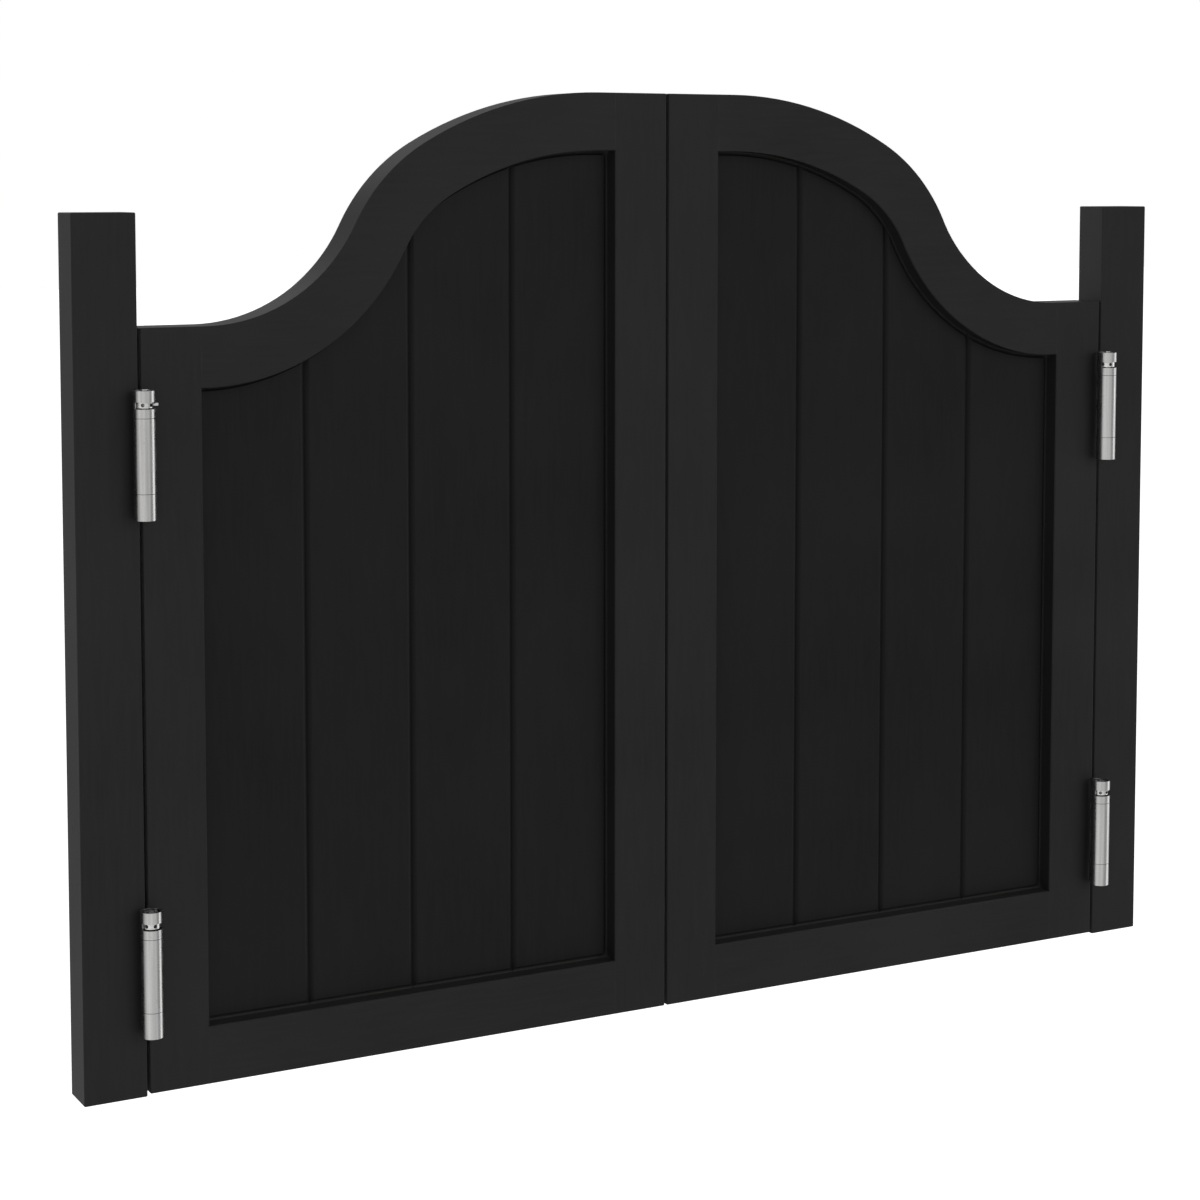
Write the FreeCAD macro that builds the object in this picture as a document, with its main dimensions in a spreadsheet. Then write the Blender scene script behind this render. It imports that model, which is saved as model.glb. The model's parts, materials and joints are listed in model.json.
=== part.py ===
"""A pair of cafe swinging doors with an ogee top, hung on double-action spring hinges.

Two short posts carry the doors.  Each door is a stile-and-rail frame with a curved top
rail, filled with four tongued V-jointed boards.  Two double-action spring hinges hold
each door: a leaf on the post, a leaf on the door, and a web in the gap that joins a
front and a rear spring barrel, so the door swings both ways and springs shut.

Frame: +X to the right, +Y to the back, +Z up.  The origin is at mid width and mid
thickness, level with the feet of the posts.  Lengths are millimetres, angles degrees.
"""

import FreeCAD, Part
import math
import os

import Sketcher

Vector = FreeCAD.Vector
UP = Vector(0, 0, 1)

LEFT = -1
RIGHT = 1
FRONT = "front"
REAR = "rear"
TURN = {FRONT: 0, REAR: 180}      # a rear barrel and its leaf are the front ones turned round

# Driving dimensions of the wooden parts.
WOOD_SIZES = {
    "overall_width": 914.0,       # outer face to outer face of the posts
    "post_width": 45.0,
    "post_height": 610.0,
    "frame_depth": 30.0,          # thickness of posts, stiles and rails
    "corner_round": 1.0,          # outer edges of posts and doors
    "arris_bevel": 0.8,           # edges round the doors' openings
    "side_gap": 2.0,              # between a post and its door
    "centre_gap": 2.0,            # between the two doors
    "door_lift": 1.5,             # door bottom above the feet of the posts
    "stile_width": 43.3,
    "bottom_rail_height": 41.0,
    "top_rail_height": 42.5,      # constant width of the curved rail
    "shoulder_height": 532.0,     # door top at the hinge side
    "crest_height": 696.0,        # door top at the meeting side
    "shoulder_run": 4.0,          # level part of the rail beside the hinge stile
    "sweep_radius": 123.0,        # hollow curve above the shoulder
    "haunch_radius": 138.0,       # tighter part of the round curve
    "crown_turn": 30.0,           # angle of the wider crown above the haunch
    "crest_run": 14.0,            # level part of the rail beside the meeting stile
    "tenon_length": 28.0,
    "tenon_thickness": 9.0,
    "tenon_shoulder": 7.0,        # outer edge of a rail to its tenon
    "tenon_clear": 1.0,           # between a tenon and the boards' housing
}

# Driving dimensions of the boards.
BOARD_SIZES = {
    "board_thickness": 8.0,
    "board_setback": 12.0,        # frame front to board front
    "board_pitch": 81.0,
    "bevel_width": 3.3,           # bevel along every visible board edge
    "edge_thickness": 4.0,        # board edge left between its two bevels
    "housing_depth": 6.0,         # how far the boards enter the frame
    "tongue_thickness": 1.6,
    "tongue_length": 4.0,
}

# Driving dimensions of the hinges, the same for all four.
HINGE_SIZES = {
    "hinge_length": 88.0,
    "upper_hinge_drop": 85.5,     # top of the hinge stile to the middle of the hinge
    "lower_hinge_lift": 88.0,     # bottom of the door to the middle of the hinge
    "barrel_radius": 7.6,
    "barrel_wall": 1.2,
    "barrel_standoff": 10.0,      # barrel axis clear of the face of the frame
    "top_knuckle": 18.5,
    "bottom_knuckle": 18.0,
    "knuckle_seam": 0.3,          # running gap between knuckle and middle tube
    "leaf_thickness": 1.5,
    "leaf_width": 24.0,
    "web_thickness": 1.0,
    "window_drop": 7.7,           # barrel top to the top of the window
    "window_height": 4.7,
    "window_start": -165.0,       # window angles about the barrel, from +X
    "window_end": 35.0,
    "spindle_radius": 3.0,
    "collar_clearance": 0.4,
    "collar_margin": 2.2,         # collar beyond the window, above
    "collar_gap": 0.8,            # open below the collar, in the window
    "collar_hole_radius": 1.3,
    "collar_hole_depth": 2.5,
    "head_radius": 4.6,
    "head_thickness": 1.6,
    "head_recess": 1.0,           # head step below the barrel top
    "boss_radius": 2.5,
    "boss_height": 0.8,           # boss above the barrel top
    "plug_height": 4.0,
    "bush_height": 4.0,
    "bush_clearance": 0.05,
    "spring_wire": 1.9,
    "spring_clearance": 0.2,      # spring to tube
    "pin_radius": 1.2,
    "pin_bevel": 0.4,
    "pin_reach": 9.7,             # barrel axis to the end of the pin, inside the standoff
    "screw_head_radius": 3.2,
    "screw_radius": 1.7,
    "screw_length": 18.0,
    "screw_tip": 4.0,
    "screw_edge": 7.0,            # leaf edge to the near screws
    "screw_stagger": 9.0,
    "screw_pitch": 26.0,
}

# Driving dimensions of the fixing holes in the posts.
MOUNT_SIZES = {
    "mount_hole_radius": 2.5,
    "mount_head_radius": 5.0,
    "mount_hole_height": 190.0,   # lower hole
    "mount_hole_spacing": 150.0,
}

# Places worked out from the driving dimensions.
PLACES = {
    "post_inner": "Sizes.overall_width / 2 - Sizes.post_width",
    "hinge_edge": "Places.post_inner - Sizes.side_gap",
    "gap_middle": "Places.post_inner - Sizes.side_gap / 2",
    "door_width": "Places.hinge_edge - Sizes.centre_gap / 2",
    "opening_start": "Sizes.stile_width",
    "opening_end": "Places.door_width - Sizes.stile_width",
    "opening_bottom": "Sizes.door_lift + Sizes.bottom_rail_height",
    "sweep_start": "Places.opening_start + Sizes.shoulder_run",
    "sweep_end": "Places.opening_end - Sizes.crest_run",
    "half_depth": "Sizes.frame_depth / 2",
    "upper_hinge": "Sizes.shoulder_height - Sizes.upper_hinge_drop",
    "lower_hinge": "Sizes.door_lift + Sizes.lower_hinge_lift",
    "board_middle": "Sizes.board_setback + Sizes.board_thickness / 2 - Places.half_depth",
    "barrel_reach": "Places.half_depth + Sizes.barrel_standoff",
    "bore_radius": "Sizes.barrel_radius - Sizes.barrel_wall",
    "barrel_top": "Sizes.hinge_length / 2",
    "tube_bottom": "Sizes.bottom_knuckle + Sizes.knuckle_seam - Places.barrel_top",
    "tube_top": "Places.barrel_top - Sizes.top_knuckle - Sizes.knuckle_seam",
    "window_top": "Places.barrel_top - Sizes.window_drop",
    "window_bottom": "Places.window_top - Sizes.window_height",
    "collar_top": "Places.window_top + Sizes.collar_margin",
    "collar_bottom": "Places.window_bottom + Sizes.collar_gap",
    "collar_hole_height": "(Places.collar_bottom + Places.window_top) / 2",
    "collar_radius": "Places.bore_radius - Sizes.collar_clearance",
    "collar_hole_floor": "Places.collar_radius - Sizes.collar_hole_depth",
}

BOARDS_PER_DOOR = 4
COLLAR_HOLES = 6
SCREWS_PER_LEAF = 3

SIDE_NAME = {LEFT: "left", RIGHT: "right"}
LEVEL_HEIGHT = {"upper": "Places.upper_hinge", "lower": "Places.lower_hinge"}
HINGES = [(side, level) for side in (LEFT, RIGHT) for level in ("upper", "lower")]

# How far each collar has been wound: the angle of one of its holes, from +X.
COLLAR_TURN = {
    (LEFT, "upper"): 0.0,
    (LEFT, "lower"): 37.0,
    (RIGHT, "upper"): 18.0,
    (RIGHT, "lower"): 49.0,
}
PINNED_LEVEL = "upper"            # only the upper hinges are under tension

TOUCHING = 1e-6                   # closer than this is the same place

doc = FreeCAD.newDocument("cafe_swinging_doors")
nodes = []


# ---------------------------------------------------------------------------
# Sheets
# ---------------------------------------------------------------------------

def fill_sheet(name, cells):
    """Write one named value to a row, with its alias beside it."""
    sheet = doc.addObject("Spreadsheet::Sheet", name)
    for row, (alias, content) in enumerate(cells.items(), start=1):
        sheet.set(f"A{row}", alias)
        sheet.set(f"B{row}", str(content))
        sheet.setAlias(f"B{row}", alias)
    doc.recompute()
    return sheet


def formula(expression):
    """A cell's formula names its own sheet's cells without the sheet."""
    return "=" + expression.replace("Places.", "")


sizes = fill_sheet("Sizes", {**WOOD_SIZES, **BOARD_SIZES, **HINGE_SIZES, **MOUNT_SIZES})
places = fill_sheet("Places", {name: formula(text) for name, text in PLACES.items()})


def number(expression):
    """The value of an expression over the two sheets."""
    return float(sizes.evalExpression(str(expression)))


# ---------------------------------------------------------------------------
# Sketches and features
# ---------------------------------------------------------------------------

def new_body(label):
    body = doc.addObject("PartDesign::Body", label)
    body.Label = label
    return body


def new_sketch(body, role, offset="0"):
    """A sketch on one of the body's own origin planes, moved along the plane's normal."""
    plane = next(f for f in body.Origin.OriginFeatures if f.Role == role)
    sketch = body.newObject("Sketcher::SketchObject", body.Name + "_sketch")
    sketch.AttachmentSupport = [(plane, "")]
    sketch.MapMode = "FlatFace"
    sketch.setExpression("AttachmentOffset.Base.z", offset)
    return sketch


def bind(sketch, kind, geometry, point, expression):
    """Tie one coordinate of a point to an expression, measured from the sketch's origin."""
    constraint = Sketcher.Constraint(kind, -1, 1, geometry, point, number(expression))
    index = sketch.addConstraint(constraint)
    sketch.setExpression(f"Constraints[{index}]", expression)


def draw_rectangle(sketch, x_low, x_high, y_low, y_high):
    corners = [(x_low, y_low), (x_high, y_low), (x_high, y_high), (x_low, y_high)]
    points = [Vector(number(x), number(y), 0) for x, y in corners]
    first = sketch.GeometryCount
    for index in range(4):
        sketch.addGeometry(Part.LineSegment(points[index], points[(index + 1) % 4]))
    for index in range(4):
        after = first + (index + 1) % 4
        sketch.addConstraint(Sketcher.Constraint("Coincident", first + index, 2, after, 1))
    for index in (0, 2):
        sketch.addConstraint(Sketcher.Constraint("Horizontal", first + index))
        sketch.addConstraint(Sketcher.Constraint("Vertical", first + index + 1))
    bind(sketch, "DistanceX", first, 1, x_low)
    bind(sketch, "DistanceY", first, 1, y_low)
    bind(sketch, "DistanceX", first + 2, 1, x_high)
    bind(sketch, "DistanceY", first + 2, 1, y_high)


def draw_circle(sketch, x, y, radius):
    circle = Part.Circle(Vector(number(x), number(y), 0), UP, number(radius))
    index = sketch.addGeometry(circle)
    bind(sketch, "DistanceX", index, 3, x)
    bind(sketch, "DistanceY", index, 3, y)
    size = sketch.addConstraint(Sketcher.Constraint("Radius", index, number(radius)))
    sketch.setExpression(f"Constraints[{size}]", radius)


def draw_polygon(sketch, corners):
    """A closed outline through corners that are pairs of expressions."""
    points = [Vector(number(x), number(y), 0) for x, y in corners]
    count = len(points)
    for index in range(count):
        sketch.addGeometry(Part.LineSegment(points[index], points[(index + 1) % count]))
    for index, (x, y) in enumerate(corners):
        before = (index - 1) % count
        sketch.addConstraint(Sketcher.Constraint("Coincident", before, 2, index, 1))
        bind(sketch, "DistanceX", index, 1, x)
        bind(sketch, "DistanceY", index, 1, y)


def draw_wire(sketch, edges):
    """A closed outline of lines and arcs, joined end to end in the order given."""
    for edge in edges:
        sketch.addGeometry(edge)
    for index in range(len(edges)):
        after = (index + 1) % len(edges)

        def gap(ends):
            near, far = sketch.getPoint(index, ends[0]), sketch.getPoint(after, ends[1])
            return near.distanceToPoint(far)

        end, start = min([(1, 1), (1, 2), (2, 1), (2, 2)], key=gap)
        sketch.addConstraint(Sketcher.Constraint("Coincident", index, end, after, start))


def pad(body, sketch, length, symmetric=False):
    feature = body.newObject("PartDesign::Pad", body.Name + "_pad")
    feature.Profile = sketch
    feature.setExpression("Length", length)
    if symmetric:
        feature.SideType = "Symmetric"
    doc.recompute()
    return feature


def pocket(body, sketch, length, along_normal):
    """Cut, and make sure that the cut went into the solid."""
    before = body.Shape.Volume
    feature = body.newObject("PartDesign::Pocket", body.Name + "_pocket")
    feature.Profile = sketch
    feature.setExpression("Length", length)
    feature.Reversed = along_normal
    doc.recompute()
    if body.Shape.Volume >= before:
        raise RuntimeError(f"{feature.Name} cuts nothing")
    return feature


def revolve(body, sketch):
    """Turn a sketch on the XZ plane about the vertical axis."""
    feature = body.newObject("PartDesign::Revolution", body.Name + "_turned")
    feature.Profile = sketch
    feature.ReferenceAxis = (sketch, ["V_Axis"])
    feature.Angle = 360
    doc.recompute()
    return feature


def dress_edges(body, kind, size, wanted):
    """A fillet or a chamfer on the edges of the body's tip that the test picks."""
    base = body.Tip
    names = [f"Edge{i}" for i, edge in enumerate(base.Shape.Edges, start=1) if wanted(edge)]
    feature = body.newObject("PartDesign::" + kind, f"{body.Name}_{kind}")
    feature.Base = (base, names)
    feature.setExpression({"Fillet": "Radius", "Chamfer": "Size"}[kind], size)
    doc.recompute()
    return feature


def round_edges(body, wanted):
    return dress_edges(body, "Fillet", "Sizes.corner_round", wanted)


def middle_of(edge):
    return edge.valueAt((edge.FirstParameter + edge.LastParameter) / 2)


def on_face(edge):
    """Whether an edge of a rail lies in its front or its rear face."""
    return abs(abs(middle_of(edge).y) - number("Places.half_depth")) < TOUCHING


def follows(edge, curve):
    """Whether an edge of a rail's front or rear face follows one of a sketch's curves."""
    middle = middle_of(edge)
    spot = Part.Vertex(middle.x, middle.z, 0)
    near = min(spot.distToShape(part.toShape())[0] for part in curve)
    return on_face(edge) and near < TOUCHING


def put(item, x="0", y="0", z="0", turn=0):
    """Place an object, its position tied to expressions."""
    item.Placement = FreeCAD.Placement(Vector(), FreeCAD.Rotation(UP, turn))
    item.setExpression("Placement.Base.x", x)
    item.setExpression("Placement.Base.y", y)
    item.setExpression("Placement.Base.z", z)


def cut_away(label, base, tools):
    """The base less every tool, one boolean for each."""
    result = base
    for tool in tools:
        cut = doc.addObject("Part::Cut", label + "_cut")
        cut.Base = result
        cut.Tool = tool
        result = cut
    doc.recompute()
    return result


def keep(item, label):
    """Give a finished object its name and list it for export."""
    item.Label = label
    nodes.append(item)
    return item


def scatter(label, master, placements):
    """A group of separate copies of one small part."""
    group = doc.addObject("Part::Feature", label)
    group.Shape = Part.makeCompound([master.Shape.transformed(p.toMatrix()) for p in placements])
    return keep(group, label)


# ---------------------------------------------------------------------------
# The door's outline
# ---------------------------------------------------------------------------

def across(side, distance):
    """X at a distance from the hinge edge of a door, as an expression."""
    return f"{side} * (Places.hinge_edge - ({distance}))"


def crown_radius():
    """Radius of the crown, so that the curve fits the rise and the run of the rail."""
    sweep = number("Sizes.sweep_radius")
    haunch = number("Sizes.haunch_radius")
    turn = math.radians(number("Sizes.crown_turn"))
    rise = number("Sizes.crest_height - Sizes.shoulder_height")
    run = number("Places.sweep_end - Places.sweep_start")
    sine, versine = math.sin(turn), 1 - math.cos(turn)
    run_left = run + haunch * sine
    rise_left = sweep + haunch * math.cos(turn) - rise
    square = sine ** 2 + versine ** 2
    half = run_left * sine - rise_left * versine
    rest = run_left ** 2 + rise_left ** 2 - (sweep + haunch) ** 2
    return (half - math.sqrt(half ** 2 - square * rest)) / square


def top_curve(side, drop, begin, end):
    """The ogee over a door, moved down square to itself by a drop.

    It runs from the distance begin to the distance end: level at the shoulder, then a
    hollow sweep, a tight round haunch, a wide round crown and level again at the crest.
    The arcs meet tangent, and curves with another drop share their centres.  Returns
    the edges, the first point and the last.
    """
    sweep = number("Sizes.sweep_radius")
    haunch = number("Sizes.haunch_radius")
    crown = crown_radius()
    turn = math.radians(number("Sizes.crown_turn"))
    start = number("Places.sweep_start")
    crest = number("Sizes.crest_height")
    sweep_centre = (start, number("Sizes.shoulder_height") + sweep)
    crown_centre = (number("Places.sweep_end"), crest - crown)
    haunch_centre = (crown_centre[0] - (crown - haunch) * math.sin(turn),
                     crown_centre[1] + (crown - haunch) * math.cos(turn))
    steepest = math.atan2(haunch_centre[0] - sweep_centre[0], sweep_centre[1] - haunch_centre[1])

    def place(distance, height):
        return Vector(side * (number("Places.hinge_edge") - distance), height, 0)

    def point(centre, radius, slope):
        """The point where the curve has this slope; a hollow arc has a negative radius."""
        return place(centre[0] - radius * math.sin(slope), centre[1] + radius * math.cos(slope))

    def arc(centre, radius, first, last):
        return Part.Arc(*[point(centre, radius, s) for s in (first, (first + last) / 2, last)])

    hollow = -(sweep + drop)
    first_slope = math.asin(max(begin - start, 0) / (sweep + drop))
    first_point = point(sweep_centre, hollow, first_slope)
    last_point = place(end, crest - drop)
    edges = [
        arc(sweep_centre, hollow, first_slope, steepest),
        arc(haunch_centre, haunch - drop, steepest, turn),
        arc(crown_centre, crown - drop, turn, 0),
        Part.LineSegment(point(crown_centre, crown - drop, 0), last_point),
    ]
    if begin < start:
        level_start = place(begin, first_point.y)
        edges.insert(0, Part.LineSegment(level_start, first_point))
        first_point = level_start
    return edges, first_point, last_point


def opening_outline(side, inset):
    """The opening of a door's frame, moved inwards by an inset, or outwards if negative."""
    begin = number("Places.opening_start") + inset
    end = number("Places.opening_end") - inset
    drop = number("Sizes.top_rail_height") + inset
    curve, first, last = top_curve(side, drop, begin, end)
    bottom = number("Places.opening_bottom") + inset
    foot_last = Vector(last.x, bottom, 0)
    foot_first = Vector(first.x, bottom, 0)
    corners = [last, foot_last, foot_first, first]
    return curve + [Part.LineSegment(corners[i], corners[i + 1]) for i in range(3)]


# ---------------------------------------------------------------------------
# Hinges
# ---------------------------------------------------------------------------

def hinge_name(side, level):
    return f"{SIDE_NAME[side]}_{level}"


def carrier(side, face):
    """What a barrel's leaf is screwed to: the left leaf has the front barrel."""
    return "post" if (side == LEFT) == (face == FRONT) else "door"


def barrels_of(owner):
    """The barrels whose leaves belong to the posts or to one door."""
    found = []
    for side, level in HINGES:
        for face in (FRONT, REAR):
            name = "post" if carrier(side, face) == "post" else SIDE_NAME[side] + "_door"
            if name == owner:
                found.append((side, level, face))
    return found


def hinge_place(side, level, face):
    """The middle of a hinge, turned round for what belongs to its rear barrel."""
    middle = Vector(side * number("Places.gap_middle"), 0, number(LEVEL_HEIGHT[level]))
    return FreeCAD.Placement(middle, FreeCAD.Rotation(UP, TURN[face]))


def barrel_place(side, level, face):
    """The middle of a barrel, on its axis."""
    axis = FreeCAD.Placement(Vector(0, -number("Places.barrel_reach"), 0), FreeCAD.Rotation())
    return hinge_place(side, level, face) * axis


def put_at_hinge(item, side, level, face):
    put(item, f"{side} * Places.gap_middle", "0", LEVEL_HEIGHT[level], TURN[face])


def put_at_barrel(item, side, level, face, turn=0):
    reach = "-Places.barrel_reach" if face == FRONT else "Places.barrel_reach"
    put(item, f"{side} * Places.gap_middle", reach, LEVEL_HEIGHT[level], TURN[face] + turn)


def make_leaf(side, level, face, screws):
    """A flat leaf with a knuckle at each end of the barrel; the upper one has a window."""
    label = f"{hinge_name(side, level)}_{carrier(side, face)}_leaf"
    body = new_body(label + "_blank")
    inner = "-Sizes.side_gap / 2"
    outer = "-Sizes.side_gap / 2 - Sizes.leaf_thickness"
    bottom = "-Places.barrel_top"
    upper = "Places.barrel_top - Sizes.top_knuckle"

    plate = new_sketch(body, "XY_Plane", bottom)
    draw_rectangle(plate, outer, inner, "-Places.half_depth",
                   "Sizes.leaf_width - Places.half_depth")
    pad(body, plate, "Sizes.hinge_length")
    for level_low, height in ((bottom, "Sizes.bottom_knuckle"), (upper, "Sizes.top_knuckle")):
        strap = new_sketch(body, "XY_Plane", level_low)
        draw_rectangle(strap, outer, inner, "-Places.barrel_reach", "-Places.half_depth")
        pad(body, strap, height)
        knuckle = new_sketch(body, "XY_Plane", level_low)
        draw_circle(knuckle, "0", "-Places.barrel_reach", "Sizes.barrel_radius")
        pad(body, knuckle, height)
    bore = new_sketch(body, "XY_Plane", bottom)
    draw_circle(bore, "0", "-Places.barrel_reach", "Places.bore_radius")
    pocket(body, bore, "Sizes.hinge_length", True)

    window = new_sketch(body, "XY_Plane", "Places.window_bottom")
    centre = Vector(0, -number("Places.barrel_reach"), 0)
    reach = 2 * number("Sizes.barrel_radius")
    angles = [math.radians(number(f"Sizes.window_{end}")) for end in ("start", "end")]
    sweep = Part.ArcOfCircle(Part.Circle(centre, UP, reach), *angles)
    ends = [centre + Vector(math.cos(a), math.sin(a), 0) * reach for a in angles]
    draw_wire(window, [Part.LineSegment(centre, ends[0]), sweep,
                       Part.LineSegment(ends[1], centre)])
    pocket(body, window, "Sizes.window_height", True)

    put_at_hinge(body, side, level, face)
    return keep(cut_away(label, body, [screws]), label)


def make_web(side, level):
    """The plate in the gap, with the middle tube of a barrel at each edge."""
    label = hinge_name(side, level) + "_web"
    body = new_body(label)
    length = "Places.tube_top - Places.tube_bottom"
    half = "Sizes.web_thickness / 2"
    plate = new_sketch(body, "XY_Plane", "Places.tube_bottom")
    draw_rectangle(plate, "-" + half, half, "-Places.barrel_reach", "Places.barrel_reach")
    pad(body, plate, length)
    for y in ("-Places.barrel_reach", "Places.barrel_reach"):
        tube = new_sketch(body, "XY_Plane", "Places.tube_bottom")
        draw_circle(tube, "0", y, "Sizes.barrel_radius")
        pad(body, tube, length)
    for y in ("-Places.barrel_reach", "Places.barrel_reach"):
        bore = new_sketch(body, "XY_Plane", "Places.tube_bottom")
        draw_circle(bore, "0", y, "Places.bore_radius")
        pocket(body, bore, length, True)
    put_at_hinge(body, side, level, FRONT)
    return keep(body, label)


def make_spindle(side, level, face):
    """The turned spindle of a barrel, with its drilled tension collar and domed head."""
    body = new_body(f"{hinge_name(side, level)}_{face}_spindle")
    head_top = "Places.barrel_top - Sizes.head_recess"
    head_bottom = head_top + " - Sizes.head_thickness"
    boss_top = "Places.barrel_top + Sizes.boss_height"
    profile = new_sketch(body, "XZ_Plane")
    draw_polygon(profile, [
        ("0", "-Places.barrel_top"),
        ("Sizes.spindle_radius", "-Places.barrel_top"),
        ("Sizes.spindle_radius", "Places.collar_bottom"),
        ("Places.collar_radius", "Places.collar_bottom"),
        ("Places.collar_radius", "Places.collar_top"),
        ("Sizes.spindle_radius", "Places.collar_top"),
        ("Sizes.spindle_radius", head_bottom),
        ("Sizes.head_radius", head_bottom),
        ("Sizes.head_radius", head_top),
        ("Sizes.boss_radius", head_top),
        ("Sizes.boss_radius", boss_top),
        ("0", boss_top),
    ])
    revolve(body, profile)

    hole = new_sketch(body, "XZ_Plane", "Places.collar_hole_floor")
    draw_circle(hole, "0", "Places.collar_hole_height", "Sizes.collar_hole_radius")
    drilled = pocket(body, hole, "2 * Sizes.collar_hole_depth", True)
    ring = body.newObject("PartDesign::PolarPattern", body.Name + "_holes")
    ring.Originals = [drilled]
    axis = next(f for f in body.Origin.OriginFeatures if f.Role == "Z_Axis")
    ring.Axis = (axis, [""])
    ring.Angle = 360
    ring.Occurrences = COLLAR_HOLES
    body.Tip = ring
    doc.recompute()

    first_hole = -90
    put_at_barrel(body, side, level, face, COLLAR_TURN[side, level] - first_hole)
    return keep(body, body.Label)


def make_sleeve(label, inner, outer, low, high):
    """A ring about the barrel axis, as a turned body."""
    body = new_body(label)
    profile = new_sketch(body, "XZ_Plane")
    draw_rectangle(profile, inner, outer, low, high)
    revolve(body, profile)
    return body


def make_spring(side, level, face):
    """The close-wound torsion spring, as the sleeve that its coils fill."""
    spring = make_sleeve(
        f"{hinge_name(side, level)}_{face}_spring",
        "Places.bore_radius - Sizes.spring_clearance - Sizes.spring_wire",
        "Places.bore_radius - Sizes.spring_clearance",
        "Places.tube_bottom + Sizes.bush_height",
        "Places.tube_top - Sizes.bush_height",
    )
    put_at_barrel(spring, side, level, face)
    return keep(spring, spring.Label)


def make_screw():
    """A countersunk wood screw, pointing up, its head flush with a leaf at the origin."""
    body = new_body("hinge_screw")
    profile = new_sketch(body, "XZ_Plane")
    draw_polygon(profile, [
        ("0", "0"),
        ("Sizes.screw_head_radius", "0"),
        ("Sizes.screw_radius", "Sizes.leaf_thickness"),
        ("Sizes.screw_radius", "Sizes.screw_length - Sizes.screw_tip"),
        ("0", "Sizes.screw_length"),
    ])
    revolve(body, profile)
    return body


def screw_places(side, level, face):
    """The screws of a leaf, staggered, driven square into the wood behind it."""
    into_wood = FreeCAD.Rotation(UP, Vector(-1, 0, 0))
    places = []
    for index in range(SCREWS_PER_LEAF):
        y = number("Sizes.screw_edge - Places.half_depth")
        y += (index % 2) * number("Sizes.screw_stagger")
        z = (index - (SCREWS_PER_LEAF - 1) / 2) * number("Sizes.screw_pitch")
        head = Vector(-number("Sizes.side_gap") / 2, y, z)
        places.append(hinge_place(side, level, face) * FreeCAD.Placement(head, into_wood))
    return places


def make_pin():
    """A tension pin on the vertical axis, its foot as far out as the floor of a collar hole."""
    body = new_body("tension_pin")
    profile = new_sketch(body, "XZ_Plane")
    draw_polygon(profile, [
        ("0", "Places.collar_hole_floor"),
        ("Sizes.pin_radius", "Places.collar_hole_floor"),
        ("Sizes.pin_radius", "Sizes.pin_reach - Sizes.pin_bevel"),
        ("Sizes.pin_radius - Sizes.pin_bevel", "Sizes.pin_reach"),
        ("0", "Sizes.pin_reach"),
    ])
    revolve(body, profile)
    return body


def pin_place(side, level, face):
    """The tension pin of a barrel, lying in a hole of its collar."""
    wound = FreeCAD.Rotation(UP, COLLAR_TURN[side, level])
    lying = FreeCAD.Rotation(UP, Vector(1, 0, 0))
    height = Vector(0, 0, number("Places.collar_hole_height"))
    return barrel_place(side, level, face) * FreeCAD.Placement(height, wound * lying)


def make_hinges():
    """All four hinges; the small parts are grouped by what carries them."""
    owners = ["post", "left_door", "right_door"]
    screw = make_screw()
    pin = make_pin()
    plug = make_sleeve("barrel_plug", "Sizes.spindle_radius", "Places.bore_radius",
                       "-Places.barrel_top", "Sizes.plug_height - Places.barrel_top")
    bush_bore = "Sizes.spindle_radius + Sizes.bush_clearance"
    bushes = [
        make_sleeve("lower_bush", bush_bore, "Places.bore_radius",
                    "Places.tube_bottom", "Places.tube_bottom + Sizes.bush_height"),
        make_sleeve("upper_bush", bush_bore, "Places.bore_radius",
                    "Places.tube_top - Sizes.bush_height", "Places.tube_top"),
    ]

    screws = {}
    for owner in owners:
        found = barrels_of(owner)
        spots = [spot for barrel in found for spot in screw_places(*barrel)]
        screws[owner] = scatter(owner + "_hinge_screws", screw, spots)
        scatter(owner + "_barrel_plugs", plug, [barrel_place(*barrel) for barrel in found])
        pinned = [pin_place(*barrel) for barrel in found if barrel[1] == PINNED_LEVEL]
        scatter(owner + "_tension_pins", pin, pinned)

    leaves = {owner: [] for owner in owners}
    for owner in owners:
        for side, level, face in barrels_of(owner):
            leaves[owner].append(make_leaf(side, level, face, screws[owner]))
            make_spindle(side, level, face)
            make_spring(side, level, face)
    for side, level in HINGES:
        make_web(side, level)
    for side in (LEFT, RIGHT):
        shapes = []
        for level in LEVEL_HEIGHT:
            for face in (FRONT, REAR):
                spot = barrel_place(side, level, face).toMatrix()
                shapes += [bush.Shape.transformed(spot) for bush in bushes]
        group = doc.addObject("Part::Feature", SIDE_NAME[side] + "_web_bushes")
        group.Shape = Part.makeCompound(shapes)
        keep(group, group.Label)
    return leaves, screws


# ---------------------------------------------------------------------------
# Posts
# ---------------------------------------------------------------------------

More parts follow.
